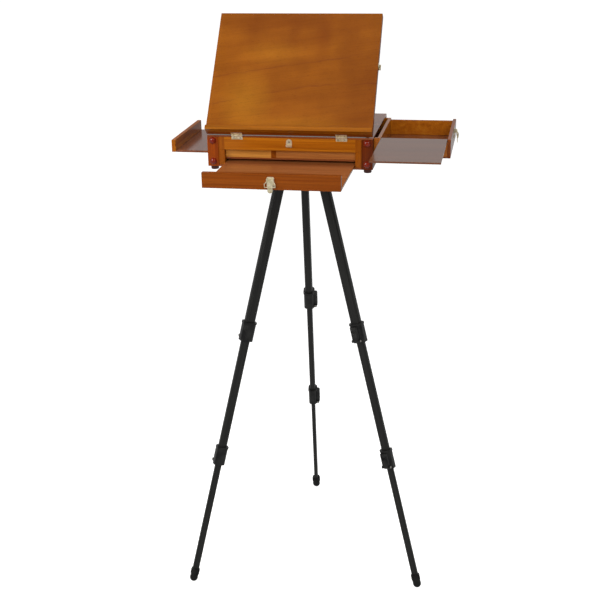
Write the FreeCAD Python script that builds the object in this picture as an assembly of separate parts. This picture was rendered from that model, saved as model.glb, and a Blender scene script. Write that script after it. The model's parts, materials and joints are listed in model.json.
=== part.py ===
import FreeCAD, Part
import math
import os

V = FreeCAD.Vector

# A wooden sketch-box easel on a folding tripod, in millimetres.
# While it is being modelled, X = 0 is the middle of the box, Y = 0 is the box's front face
# (+Y is away from the painter) and Z = 0 is the ground. At the end everything is moved so that
# the origin is the bottom centre of the whole easel.

# ---- driving dimensions: the box ----
BOX_WIDTH = 400.0
BOX_DEPTH = 300.0
BOX_HEIGHT = 76.0            # top of the top board to the bottom of the posts
POST_SIZE = 27.0
POST_PROUD = 1.0             # the posts stand this far out of the front frame
STILE_WIDTH = 15.0
RAIL_HEIGHT = 31.0
FRAME_THICK = 14.0           # front frame and back board
SIDE_THICK = 12.0
TOP_BOARD_THICK = 4.0
BOTTOM_BOARD_THICK = 4.0
MID_BOARD_THICK = 9.0
DIVIDER_THICK = 12.0
DIVIDER_X = -41.0            # middle of the divider between the two upper compartments
FRONT_PANEL_THICK = 6.0      # thin walls that close those compartments behind the front frame
REBATE = 5.5                 # how far they reach down the front edge of the middle board
LEFT_RAIL_HEIGHT = 15.0
FOOT_RADIUS = 9.5
FOOT_HEIGHT = 9.0
BUTTON_RADIUS = 8.8
BUTTON_HEIGHT = 6.5
BUTTON_DROP_TOP = 13.0       # button centres below the top of the box
BUTTON_RISE_BOTTOM = 12.5    # and above the bottom of the posts

# ---- driving dimensions: what slides out of the box ----
DRAWER_HEIGHT = 45.2
DRAWER_WALL = 8.0
DRAWER_FLOOR = 4.0
DRAWER_MAIN_LENGTH = 157.0   # the compartment that the palette covers
DRAWER_REAR_LENGTH = 51.0    # the small compartment behind it
DRAWER_OUT = 180.0           # how far the drawer stands out at rest
PALETTE_THICK = 4.0
PALETTE_LENGTH = 237.0
PALETTE_PIN_RADIUS = 1.2
PALETTE_PIN_LENGTH = 18.0
PALETTE_PIN_SETBACK = 5.0    # pin axis behind the drawer's front face
SHELF_HEIGHT = 30.0
SHELF_WALL = 10.0
SHELF_FLOOR = 5.0
SHELF_OUT = 98.0
TRAY_FASCIA_THICK = 12.0
TRAY_FLOOR = 6.0
TRAY_OUT = 222.0

# ---- driving dimensions: lid ----
LID_LENGTH = 325.0           # from the hinge axis to the top edge
LID_TILT = 51.0              # degrees from lying flat
LID_FRAME_DEPTH = 13.0
LID_FRAME_WIDTH = 18.0
PANEL_THICK = 5.0
LEDGE_DEPTH = 10.0
LEDGE_HEIGHT = 11.0
HINGE_X = 126.0
HINGE_WIDTH = 27.0
HINGE_KNUCKLE_RADIUS = 2.0
HINGE_PIN_RADIUS = 0.9
HINGE_LEAF_THICK = 1.2
HINGE_LEAF_HEIGHT = 9.5
PROP_LENGTH = 140.0          # pivot to foot bar, and hinge axis to pivot
PROP_PIVOT_N = 5.0           # pivot above the lid frame's back face
PROP_FOOT_N = 9.0            # foot bar above it when the prop is folded away
PROP_BAR_RADIUS = 3.0
PROP_ARM_X = 169.0
PROP_ARM_THICK = 8.0
PROP_PIN_RADIUS = 2.5
RACK_X = 150.0
RACK_WIDTH = 14.0
RACK_PITCH = 15.0
RACK_TOOTH_DEPTH = 1.2

# ---- driving dimensions: latches ----
LATCH_WIDTH = 17.0
LATCH_HEIGHT = 24.0
LATCH_PLATE_THICK = 1.2
LATCH_DROP = 6.0             # plate top below the edge of the board that carries it
LEVER_WIDTH = 14.0
LEVER_TIP_WIDTH = 11.5
LEVER_LENGTH = 29.0
LATCH_PIN_RADIUS = 1.0
LOOP_WIRE_RADIUS = 0.9
LOOP_WIDTH = 24.0
LOOP_LENGTH = 11.0
CATCH_WIDTH = 14.0
CATCH_HEIGHT = 20.0
SIDE_LATCH_Y = 184.0         # middle of the drawer's latch and of the lid's catch

# ---- driving dimensions: tripod ----
LEG_LENGTH = 1148.0          # hip pin to the middle of the foot's ball
LEG_SPREAD = 15.0            # degrees from upright
LEG_AZIMUTHS = {"left_leg": -144.0, "right_leg": -24.0, "rear_leg": 96.0}
TRIPOD_Y = 171.0
HIP_RADIUS = 57.0
HIP_DROP = 45.0              # hip pins below the bottom of the box
TUBE_SECTIONS = [(27.5, 20.5), (22.6, 15.6), (18.0, 11.4)]   # radial and tangential sizes
TUBE_WALL = 1.2
UPPER_TUBE_LENGTH = 430.0
CLAMP_LENGTH = 52.0
CLAMP_GRIP = 30.0            # how much of the clamp is on the thicker tube
CLAMP_WALL = 4.0
CLAMP_LIP = 5.0              # height of the raised band at the clamp's top
LOWER_CLAMP_AT = 754.0       # top of the lower clamp, measured from the hip pin
TUBE_OVERLAP = 60.0          # how much of a tube stays inside the next one
CLAMP_LEVER_LENGTH = 38.0
CLAMP_LEVER_WIDTH = 20.0
CLAMP_LEVER_THICK = 8.5
CLAMP_PIN_RADIUS = 1.6
CLAMP_PIN_RISE = 7.0         # lever pin above the clamp's lower end
CLAMP_PIN_OUT = 3.5          # and out from its side
BALL_RADIUS = 11.0
RUBBER_FOOT_LENGTH = 38.0
HIP_PIN_RADIUS = 3.0
HUB_RADIUS = 34.0
HUB_EAR_THICK = 6.0

# ---- clearances ----
SLIDE_GAP = 1.0              # beside and above the sliding boards
REST_GAP = 0.5               # under them
TURN_GAP = 0.3               # between parts that swing past each other
RUNNING_GAP = 0.05           # pins in their bores
KNUCKLE_GAP = 0.2            # between neighbouring hinge knuckles
TUBE_GAP = 0.3
EDGE_ROUND = 1.0

# ---- derived places ----
HIP_Z = BALL_RADIUS + LEG_LENGTH * math.cos(math.radians(LEG_SPREAD))
BOX_BOTTOM = HIP_Z + HIP_DROP
BOX_TOP = BOX_BOTTOM + BOX_HEIGHT
HALF = BOX_WIDTH / 2
OPENING_HALF = HALF - POST_SIZE - STILE_WIDTH
RAIL_BOTTOM = BOX_TOP - TOP_BOARD_THICK - RAIL_HEIGHT
FLOOR_Z = BOX_BOTTOM + BOTTOM_BOARD_THICK
INNER_BACK = BOX_DEPTH - FRAME_THICK
POST_BACK_OF_FRONT = POST_SIZE - POST_PROUD
POST_FRONT_OF_BACK = BOX_DEPTH - POST_SIZE

RIM_Z = BOX_TOP - TOP_BOARD_THICK - SLIDE_GAP
UPPER_FLOOR_Z = RIM_Z - DRAWER_HEIGHT - REST_GAP
SLIDE_FRONT = POST_BACK_OF_FRONT + SLIDE_GAP
SLIDE_BACK = POST_FRONT_OF_BACK - SLIDE_GAP
SLIDER_BOTTOM = UPPER_FLOOR_Z + REST_GAP

HINGE_Y = -(HINGE_KNUCKLE_RADIUS + TURN_GAP)
HINGE_Z = BOX_TOP + 0.4


def box(x0, x1, y0, y1, z0, z1):
    return Part.makeBox(x1 - x0, y1 - y0, z1 - z0, V(x0, y0, z0))


def board(x0, x1, y0, y1, z0, z1, rounding=EDGE_ROUND):
    """A board with all its edges slightly rounded."""
    solid = box(x0, x1, y0, y1, z0, z1)
    limit = min(x1 - x0, y1 - y0, z1 - z0) * 0.3
    return solid.makeFillet(min(rounding, limit), solid.Edges)


def rod(start, end, radius):
    line = V(*end) - V(*start)
    return Part.makeCylinder(radius, line.Length, V(*start), line)


def bent_wire(points, radius):
    """A wire bent sharply at each point."""
    solid = rod(points[0], points[1], radius)
    for start, end in zip(points[1:], points[2:]):
        solid = solid.fuse(Part.makeSphere(radius, V(*start)))
        solid = solid.fuse(rod(start, end, radius))
    return solid.removeSplitter()


def profile_x(points, x0, x1):
    """A flat outline of (y, z) points, extruded along X."""
    ring = [V(x0, y, z) for y, z in points]
    return Part.Face(Part.makePolygon(ring + ring[:1])).extrude(V(x1 - x0, 0, 0))


def profile_y(points, y0, y1):
    """A flat outline of (x, z) points, extruded along Y."""
    ring = [V(x, y0, z) for x, z in points]
    return Part.Face(Part.makePolygon(ring + ring[:1])).extrude(V(0, y1 - y0, 0))


def mirror_x(solid):
    return solid.mirror(V(0, 0, 0), V(1, 0, 0))


def group(solids):
    return solids[0] if len(solids) == 1 else Part.makeCompound(solids)


# ---------------------------------------------------------------- the box

def corner_post(x_side, front):
    x0 = HALF - POST_SIZE
    y0, y1 = (-POST_PROUD, POST_BACK_OF_FRONT) if front else (POST_FRONT_OF_BACK, BOX_DEPTH)
    post = board(x0, HALF, y0, y1, BOX_BOTTOM, BOX_TOP - TOP_BOARD_THICK)
    return post if x_side > 0 else mirror_x(post)


def dome(x, y, z, direction):
    """A round button with a domed face, standing on a surface."""
    ball_radius = (BUTTON_RADIUS ** 2 + BUTTON_HEIGHT ** 2) / (2 * BUTTON_HEIGHT)
    ball = Part.makeSphere(ball_radius, V(0, 0, BUTTON_HEIGHT - ball_radius))
    cap = ball.common(Part.makeCylinder(BUTTON_RADIUS * 1.1, BUTTON_HEIGHT))
    cap.rotate(V(0, 0, 0), V(1, 0, 0), 90 * direction)
    cap.translate(V(x, y, z))
    return cap


def make_box_shell():
    nodes = {}
    top_z = BOX_TOP - TOP_BOARD_THICK
    post_x = HALF - POST_SIZE
    nodes["top_board"] = board(-HALF, HALF, 0, BOX_DEPTH, top_z, BOX_TOP)

    posts = [corner_post(side, front) for front in (True, False) for side in (-1, 1)]
    nodes["corner_posts"] = group(posts)

    bottom = box(-HALF + SIDE_THICK, HALF - SIDE_THICK, 0, BOX_DEPTH, BOX_BOTTOM, FLOOR_Z)
    middle = box(-HALF + SIDE_THICK, HALF - SIDE_THICK, FRAME_THICK, INNER_BACK,
                 UPPER_FLOOR_Z - MID_BOARD_THICK, UPPER_FLOOR_Z)
    nodes["bottom_board"] = bottom.cut(group(posts))
    front_y = FRAME_THICK + FRONT_PANEL_THICK
    rebate_z = UPPER_FLOOR_Z - REBATE
    rebate = box(-HALF, HALF, FRAME_THICK, front_y, rebate_z, UPPER_FLOOR_Z)
    nodes["mid_board"] = middle.cut(group(posts + [rebate]))

    nodes["back_board"] = board(-post_x, post_x, INNER_BACK, BOX_DEPTH, FLOOR_Z, top_z)
    rail = board(-post_x, post_x, 0, FRAME_THICK, RAIL_BOTTOM, top_z)
    stile = board(OPENING_HALF, post_x, 0, FRAME_THICK, FLOOR_Z, RAIL_BOTTOM)
    nodes["front_frame"] = group([rail, stile, mirror_x(stile)])

    side_y0, side_y1 = POST_BACK_OF_FRONT, POST_FRONT_OF_BACK
    lower_side = board(HALF - SIDE_THICK, HALF, side_y0, side_y1, BOX_BOTTOM, UPPER_FLOOR_Z)
    left_rail = board(-HALF, -HALF + SIDE_THICK, side_y0, side_y1, top_z - LEFT_RAIL_HEIGHT, top_z)
    nodes["side_boards"] = group([left_rail, mirror_x(lower_side), lower_side])

    divider_x0, divider_x1 = DIVIDER_X - DIVIDER_THICK / 2, DIVIDER_X + DIVIDER_THICK / 2
    divider = board(divider_x0, divider_x1, front_y, INNER_BACK, UPPER_FLOOR_Z, top_z)
    divider_end = board(divider_x0, divider_x1, FRAME_THICK, front_y, rebate_z, top_z)
    left_panel = board(-post_x, divider_x0, FRAME_THICK, front_y, rebate_z, top_z)
    right_panel = board(divider_x1, post_x, FRAME_THICK, front_y, rebate_z, top_z)
    nodes["compartment_walls"] = group([divider, divider_end, left_panel, right_panel])

    button_x = HALF - POST_SIZE / 2
    heights = (BOX_TOP - BUTTON_DROP_TOP, BOX_BOTTOM + BUTTON_RISE_BOTTOM)
    nodes["button_plugs"] = group([dome(side * button_x, y, z, direction)
                                   for y, direction in ((-POST_PROUD, 1), (BOX_DEPTH, -1))
                                   for side in (-1, 1) for z in heights])

    foot_ys = (POST_SIZE / 2 - POST_PROUD, BOX_DEPTH - POST_SIZE / 2)
    feet = []
    for x in (-button_x, button_x):
        for y in foot_ys:
            foot = Part.makeCylinder(FOOT_RADIUS, FOOT_HEIGHT, V(x, y, BOX_BOTTOM - FOOT_HEIGHT))
            feet.append(foot.makeFillet(EDGE_ROUND * 2, [foot.Edges[2]]))
    nodes["box_feet"] = group(feet)
    return nodes


# ---------------------------------------------------------------- latches

LEVER_Y, LEVER_Z = -4.4, -6.0          # lever pin, from the top edge of the plate
LOOP_Y, LOOP_Z = -6.6, -10.3           # where the loop's wire turns in the lever
LOOP_FRONT_Y = -9.8
EAR_THICK = 1.2


def latch_plate():
    """The fixed plate of a draw latch on a face that looks along -Y, its top edge at the origin."""
    plate = box(-LATCH_WIDTH / 2, LATCH_WIDTH / 2, -LATCH_PLATE_THICK, 0, -LATCH_HEIGHT, 0)
    corners = [e for e in plate.Edges if abs(e.tangentAt(0).y) > 0.9]
    plate = plate.makeFillet(3.0, corners)
    ear_x = LEVER_WIDTH / 2 + TURN_GAP
    ear = box(ear_x, ear_x + EAR_THICK, LEVER_Y - 2.1, -LATCH_PLATE_THICK / 2, LEVER_Z - 3.0, LEVER_Z + 3.0)
    pin_end = ear_x + EAR_THICK
    pin = rod((-pin_end, LEVER_Y, LEVER_Z), (pin_end, LEVER_Y, LEVER_Z), LATCH_PIN_RADIUS)
    return plate.fuse([ear, mirror_x(ear), pin]).removeSplitter()




def latch_lever():
    """The pressed lever, which hangs from its pin in front of the plate."""
    half, tip_half = LEVER_WIDTH / 2, LEVER_TIP_WIDTH / 2
    tip_z = LEVER_Z - LEVER_LENGTH
    waist_z = LEVER_Z - LEVER_LENGTH * 0.55
    barrel = rod((-half, LEVER_Y, LEVER_Z), (half, LEVER_Y, LEVER_Z), LATCH_PIN_RADIUS + 1.3)
    side_view = profile_x([(-5.4, LEVER_Z + 1.5), (-7.0, LEVER_Z + 1.5), (-8.4, LOOP_Z - 2), (-8.4, waist_z),
                           (-8.8, tip_z), (-7.3, tip_z), (-6.9, waist_z), (-5.2, LOOP_Z - 2)], -half, half)
    front_view = profile_y([(-half, LEVER_Z + 2), (half, LEVER_Z + 2), (half, LOOP_Z - 3), (tip_half, waist_z),
                            (tip_half, tip_z + 3.5), (tip_half - 3.5, tip_z), (3.5 - tip_half, tip_z),
                            (-tip_half, tip_z + 3.5), (-tip_half, waist_z), (-half, LOOP_Z - 3)], -12, 0)
    lever = barrel.fuse(side_view.common(front_view))
    lever = lever.cut(rod((-half - 1, LEVER_Y, LEVER_Z), (half + 1, LEVER_Y, LEVER_Z),
                          LATCH_PIN_RADIUS + RUNNING_GAP))
    return lever.cut(rod((-half - 1, LOOP_Y, LOOP_Z), (half + 1, LOOP_Y, LOOP_Z),
                         LOOP_WIRE_RADIUS + RUNNING_GAP)).removeSplitter()


def latch_loop():
    """The wire loop, which hangs from the lever and swings up to the catch."""
    inner, outer = LEVER_WIDTH / 2 + 1.8, LOOP_WIDTH / 2
    bottom = LOOP_Z - LOOP_LENGTH
    return bent_wire([(inner, LOOP_Y, LOOP_Z), (outer, LOOP_FRONT_Y, LOOP_Z - 4),
                      (outer, LOOP_FRONT_Y, bottom), (-outer, LOOP_FRONT_Y, bottom),
                      (-outer, LOOP_FRONT_Y, LOOP_Z - 4), (-inner, LOOP_Y, LOOP_Z),
                      (inner, LOOP_Y, LOOP_Z)], LOOP_WIRE_RADIUS)


def catch_plate():
    """The catch that a loop hooks over: a rounded plate with a hooked lip, its top at the origin."""
    half = CATCH_WIDTH / 2
    plate = box(-half, half, -LATCH_PLATE_THICK, 0, -CATCH_HEIGHT, -half)
    plate = plate.fuse(rod((0, -LATCH_PLATE_THICK, -half), (0, 0, -half), half))
    lip_z = 4.0 - CATCH_HEIGHT
    lip = profile_x([(0, lip_z - 3), (-4.6, lip_z - 1.5), (-5.3, lip_z + 3.0),
                     (-4.0, lip_z + 3.1), (-3.3, lip_z), (0, lip_z)], -half, half)
    hole = rod((0, -3, -half), (0, 1, -half), 2.2)
    return plate.fuse(lip).cut(hole).removeSplitter()


def on_front(solid, y, z):
    solid.translate(V(0, y, z))
    return solid


def on_right(solid, x, y, z):
    solid.rotate(V(0, 0, 0), V(0, 0, 1), 90)
    solid.translate(V(x, y, z))
    return solid


# ---------------------------------------------------------------- front tray, left shelf, right drawer

def make_tray():
    half = OPENING_HALF - SLIDE_GAP
    bottom = FLOOR_Z + REST_GAP
    top = RAIL_BOTTOM - SLIDE_GAP
    front = -TRAY_OUT
    length = INNER_BACK - 2 * SLIDE_GAP
    latch_z = top - LATCH_DROP
    return {
        "tray_fascia": board(-half, half, front, front + TRAY_FASCIA_THICK, bottom, top),
        "tray_floor": board(-half, half, front + TRAY_FASCIA_THICK, front + length,
                            bottom, bottom + TRAY_FLOOR),
        "tray_latch_plate": on_front(latch_plate(), front, latch_z),
        "tray_latch_lever": on_front(latch_lever(), front, latch_z),
        "tray_latch_loop": on_front(latch_loop(), front, latch_z),
    }


def make_shelf():
    outer = -HALF - SHELF_OUT
    inner_end = DIVIDER_X - DIVIDER_THICK / 2 - 5 * SLIDE_GAP - SHELF_OUT
    wall_x = outer + SHELF_WALL
    return {
        "shelf_wall": board(outer, wall_x, SLIDE_FRONT, SLIDE_BACK,
                            SLIDER_BOTTOM, SLIDER_BOTTOM + SHELF_HEIGHT),
        "shelf_floor": board(wall_x, inner_end, SLIDE_FRONT, SLIDE_BACK,
                             SLIDER_BOTTOM, SLIDER_BOTTOM + SHELF_FLOOR),
    }


DRAWER_X1 = HALF + DRAWER_OUT
DRAWER_FASCIA_X = DRAWER_X1 - DRAWER_WALL
DRAWER_MAIN_X = DRAWER_FASCIA_X - DRAWER_MAIN_LENGTH
DRAWER_PARTITION_X = DRAWER_MAIN_X - DRAWER_WALL
DRAWER_X0 = DRAWER_PARTITION_X - DRAWER_REAR_LENGTH - DRAWER_WALL
WALL_Z = SLIDER_BOTTOM + DRAWER_FLOOR
LOW_WALL_Z = RIM_Z - PALETTE_THICK - TURN_GAP
PALETTE_PIN_Y = SLIDE_FRONT + PALETTE_PIN_SETBACK
PALETTE_PIN_Z = LOW_WALL_Z + TURN_GAP / 2 + PALETTE_THICK / 2


def palette_pin_bore(x0, x1):
    return rod((x0, PALETTE_PIN_Y, PALETTE_PIN_Z), (x1, PALETTE_PIN_Y, PALETTE_PIN_Z),
               PALETTE_PIN_RADIUS + RUNNING_GAP)


def make_drawer():
    notch = box(DRAWER_MAIN_X, DRAWER_FASCIA_X, SLIDE_FRONT - 1, SLIDE_BACK + 1, LOW_WALL_Z, RIM_Z + 1)
    bore_depth = PALETTE_PIN_LENGTH / 2
    front_wall = board(DRAWER_X0, DRAWER_FASCIA_X, SLIDE_FRONT, SLIDE_FRONT + DRAWER_WALL, WALL_Z, RIM_Z)
    front_wall = front_wall.cut(notch).cut(palette_pin_bore(DRAWER_MAIN_X - bore_depth, DRAWER_MAIN_X))
    back_wall = board(DRAWER_X0, DRAWER_FASCIA_X, SLIDE_BACK - DRAWER_WALL, SLIDE_BACK, WALL_Z, RIM_Z)
    back_wall = back_wall.cut(notch)
    inner_y0, inner_y1 = SLIDE_FRONT + DRAWER_WALL, SLIDE_BACK - DRAWER_WALL
    partition = board(DRAWER_PARTITION_X, DRAWER_MAIN_X, inner_y0, inner_y1, WALL_Z, RIM_Z)
    end_wall = board(DRAWER_X0, DRAWER_X0 + DRAWER_WALL, inner_y0, inner_y1, WALL_Z, RIM_Z)
    fascia = board(DRAWER_FASCIA_X, DRAWER_X1, SLIDE_FRONT, SLIDE_BACK, SLIDER_BOTTOM, RIM_Z)
    fascia = fascia.cut(palette_pin_bore(DRAWER_FASCIA_X - 1, DRAWER_FASCIA_X + DRAWER_WALL * 0.8))

    side_gap = TURN_GAP
    x0, x1 = DRAWER_MAIN_X + side_gap, DRAWER_FASCIA_X - side_gap
    leaf = board(x0, x1, PALETTE_PIN_Y - PALETTE_LENGTH, PALETTE_PIN_Y,
                 PALETTE_PIN_Z - PALETTE_THICK / 2, PALETTE_PIN_Z + PALETTE_THICK / 2)
    tail = rod((x0, PALETTE_PIN_Y, PALETTE_PIN_Z), (x1, PALETTE_PIN_Y, PALETTE_PIN_Z), PALETTE_THICK / 2)
    straight = box(x0, x1, PALETTE_PIN_Y - 2 * PALETTE_THICK, PALETTE_PIN_Y,
                   PALETTE_PIN_Z - PALETTE_THICK / 2, PALETTE_PIN_Z + PALETTE_THICK / 2)
    leaf = leaf.fuse([straight, tail]).removeSplitter()
    reach = DRAWER_WALL * 0.7
    pins = [rod((x0 - reach, PALETTE_PIN_Y, PALETTE_PIN_Z),
                (x0 - reach + PALETTE_PIN_LENGTH, PALETTE_PIN_Y, PALETTE_PIN_Z), PALETTE_PIN_RADIUS),
            rod((x1 + reach, PALETTE_PIN_Y, PALETTE_PIN_Z),
                (x1 + reach - PALETTE_PIN_LENGTH, PALETTE_PIN_Y, PALETTE_PIN_Z), PALETTE_PIN_RADIUS)]
    leaf = leaf.cut(group(pins))
    latch_z = RIM_Z - LATCH_DROP
    return {
        "drawer_floor": board(DRAWER_X0, DRAWER_FASCIA_X, SLIDE_FRONT, SLIDE_BACK, SLIDER_BOTTOM, WALL_Z),
        "drawer_walls": group([front_wall, back_wall, partition, end_wall]),
        "drawer_fascia": fascia,
        "palette": group([leaf] + pins),
        "drawer_latch_plate": on_right(latch_plate(), DRAWER_X1, SIDE_LATCH_Y, latch_z),
        "drawer_latch_lever": on_right(latch_lever(), DRAWER_X1, SIDE_LATCH_Y, latch_z),
        "drawer_latch_loop": on_right(latch_loop(), DRAWER_X1, SIDE_LATCH_Y, latch_z),
    }


# ---------------------------------------------------------------- lid, its hinges and its prop

def raise_lid(solid):
    """Turn a solid that is modelled on the closed lid to the lid's resting tilt."""
    solid.rotate(V(0, HINGE_Y, HINGE_Z), V(1, 0, 0), LID_TILT)
    return solid


LID_BOTTOM = HINGE_Z
PANEL_BOTTOM = LID_BOTTOM + LID_FRAME_DEPTH
PANEL_TOP = PANEL_BOTTOM + PANEL_THICK
LID_END = HINGE_Y + LID_LENGTH
PROP_PIVOT_Y = HINGE_Y + PROP_LENGTH
PROP_PIVOT_Z = LID_BOTTOM + PROP_PIVOT_N


def knuckle_spans():
    """The five knuckles of a butt hinge: three on the lower leaf, two on the upper."""
    step = HINGE_WIDTH / 5
    edges = [-HINGE_WIDTH / 2 + i * step for i in range(6)]
    spans = list(zip(edges, edges[1:]))
    return spans[0::2], spans[1::2]


def hinge_leaf(z0, z1, spans):
    """One hinge leaf: a plate against the edge faces and its share of the knuckles."""
    half = HINGE_WIDTH / 2
    plate = box(-half, half, -HINGE_LEAF_THICK, 0, min(z0, z1), max(z0, z1))
    plate = plate.cut(rod((-half, HINGE_Y, HINGE_Z), (half, HINGE_Y, HINGE_Z),
                          HINGE_KNUCKLE_RADIUS + TURN_GAP))
    leaf = plate
    gap = KNUCKLE_GAP / 2
    bore = rod((-half, HINGE_Y, HINGE_Z), (half, HINGE_Y, HINGE_Z), HINGE_PIN_RADIUS + RUNNING_GAP)
    for x0, x1 in spans:
        knuckle = rod((x0 + gap, HINGE_Y, HINGE_Z), (x1 - gap, HINGE_Y, HINGE_Z), HINGE_KNUCKLE_RADIUS)
        web_z0, web_z1 = sorted((HINGE_Z, (z0 + z1) / 2))
        web = box(x0 + gap, x1 - gap, -HINGE_LEAF_THICK, -TURN_GAP, web_z0, web_z1)
        leaf = leaf.fuse([knuckle, web])
    return leaf.cut(bore).removeSplitter()


def at_hinges(solid):
    right = solid.copy()
    right.translate(V(HINGE_X, 0, 0))
    left = solid.copy()
    left.translate(V(-HINGE_X, 0, 0))
    return [left, right]


def make_lid():
    nodes = {}
    lower_spans, upper_spans = knuckle_spans()
    half = HINGE_WIDTH / 2
    pin = rod((-half, HINGE_Y, HINGE_Z), (half, HINGE_Y, HINGE_Z), HINGE_PIN_RADIUS)
    lower = hinge_leaf(HINGE_Z - TURN_GAP, HINGE_Z - HINGE_LEAF_HEIGHT, lower_spans)
    nodes["hinge_lower_leaves"] = group(at_hinges(lower) + at_hinges(pin))
    upper = hinge_leaf(HINGE_Z + TURN_GAP, HINGE_Z + HINGE_LEAF_HEIGHT, upper_spans)
    nodes["hinge_upper_leaves"] = raise_lid(group(at_hinges(upper)))

    bore = rod((HALF - LID_FRAME_WIDTH - 1, PROP_PIVOT_Y, PROP_PIVOT_Z),
               (PROP_PIN_END, PROP_PIVOT_Y, PROP_PIVOT_Z), PROP_PIN_RADIUS + RUNNING_GAP)
    side_rail = board(HALF - LID_FRAME_WIDTH, HALF, 0, LID_END, LID_BOTTOM, PANEL_BOTTOM).cut(bore)
    inner = HALF - LID_FRAME_WIDTH
    low_rail = board(-inner, inner, 0, LID_FRAME_WIDTH, LID_BOTTOM, PANEL_BOTTOM)
    high_rail = board(-inner, inner, LID_END - LID_FRAME_WIDTH, LID_END, LID_BOTTOM, PANEL_BOTTOM)
    nodes["lid_frame"] = raise_lid(group([side_rail, mirror_x(side_rail), low_rail, high_rail]))
    nodes["lid_panel"] = raise_lid(board(-HALF, HALF, 0, LID_END, PANEL_BOTTOM, PANEL_TOP))
    nodes["canvas_ledge"] = raise_lid(board(-HALF, HALF, 0, LEDGE_HEIGHT, PANEL_TOP, PANEL_TOP + LEDGE_DEPTH))

    catch = catch_plate()
    catch = on_right(catch, HALF, SIDE_LATCH_Y, PANEL_TOP - 0.5)
    lid_band = box(HALF - 1, HALF + 20, 0, LID_END, LID_BOTTOM + 1, PANEL_TOP)
    nodes["lid_side_catch"] = raise_lid(catch.common(lid_band))
    return nodes


PROP_PIN_END = HALF - 4.0


def make_prop():
    """Two arms on stub pins in the lid's side rails, joined by the bar that stands in the racks."""
    foot_y = PROP_PIVOT_Y + PROP_LENGTH
    foot_z = LID_BOTTOM + PROP_FOOT_N
    x0, x1 = PROP_ARM_X - PROP_ARM_THICK / 2, PROP_ARM_X + PROP_ARM_THICK / 2
    pivot_round = rod((x0, PROP_PIVOT_Y, PROP_PIVOT_Z), (x1, PROP_PIVOT_Y, PROP_PIVOT_Z), 4.0)
    foot_round = rod((x0, foot_y, foot_z), (x1, foot_y, foot_z), 4.0 - TURN_GAP)
    half = 3.6
    bar_of_arm = profile_x([(PROP_PIVOT_Y, PROP_PIVOT_Z - half), (foot_y, foot_z - half),
                            (foot_y, foot_z + half), (PROP_PIVOT_Y, PROP_PIVOT_Z + half)], x0, x1)
    foot_bore = rod((x0, foot_y, foot_z), (x1, foot_y, foot_z), PROP_BAR_RADIUS)
    pin_bore = rod((x0, PROP_PIVOT_Y, PROP_PIVOT_Z), (x1, PROP_PIVOT_Y, PROP_PIVOT_Z), PROP_PIN_RADIUS)
    arm = pivot_round.fuse([foot_round, bar_of_arm]).removeSplitter().cut(foot_bore).cut(pin_bore)
    pin = rod((x0, PROP_PIVOT_Y, PROP_PIVOT_Z), (PROP_PIN_END - TURN_GAP, PROP_PIVOT_Y, PROP_PIVOT_Z),
              PROP_PIN_RADIUS)
    foot_bar = rod((-x1, foot_y, foot_z), (x1, foot_y, foot_z), PROP_BAR_RADIUS)
    prop = group([arm, mirror_x(arm), pin, mirror_x(pin), foot_bar])
    prop.rotate(V(0, PROP_PIVOT_Y, PROP_PIVOT_Z), V(1, 0, 0), -2 * LID_TILT)
    return {"prop_frame": raise_lid(prop)}


def make_racks():
    """Toothed strips on the top board. Their tooth tips run just under the foot bar's path."""
    slope = PROP_FOOT_N / (2 * PROP_LENGTH)
    drop = PROP_BAR_RADIUS + 0.5 - (HINGE_Z - BOX_TOP)

    def tip(y):
        return BOX_TOP + slope * (y - HINGE_Y) - drop

    start, end = HINGE_Y + PROP_LENGTH, HINGE_Y + 2 * PROP_LENGTH + 2.0
    outline = [(start, BOX_TOP)]
    y = start
    while y + RACK_PITCH <= end:
        outline.append((y, tip(y) - 0.3))
        outline.append((y + RACK_PITCH * 0.75, tip(y)))
        outline.append((y + RACK_PITCH * 0.85, tip(y) - RACK_TOOTH_DEPTH))
        y += RACK_PITCH
    outline.append((end, tip(y) - RACK_TOOTH_DEPTH))
    outline.append((end, BOX_TOP))
    strip = profile_x(outline, RACK_X - RACK_WIDTH / 2, RACK_X + RACK_WIDTH / 2)
    return {"prop_racks": group([strip, mirror_x(strip)])}


# ---------------------------------------------------------------- tripod

def oval_prism(size, z0, z1, grow=0.0):
    """A leg tube's outline, a rounded rectangle, as an upright prism around the leg's axis."""
    radial, tangential = size[0] + 2 * grow, size[1] + 2 * grow
    prism = box(-radial / 2, radial / 2, -tangential / 2, tangential / 2, z0, z1)
    upright = [e for e in prism.Edges if abs(e.tangentAt(0).z) > 0.9]
    return prism.makeFillet(tangential * 0.36, upright)


def tube(size, z0, z1):
    return oval_prism(size, z0, z1).cut(oval_prism(size, z0 - 1, z1 + 1, -TUBE_WALL))


def clamp_pin(outer_size, top):
    """Where the lever's pin runs, beside the clamp: its y and z."""
    side_y = -(outer_size[1] / 2 + CLAMP_WALL)
    return side_y - CLAMP_PIN_OUT, top - CLAMP_LENGTH + CLAMP_PIN_RISE


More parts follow.
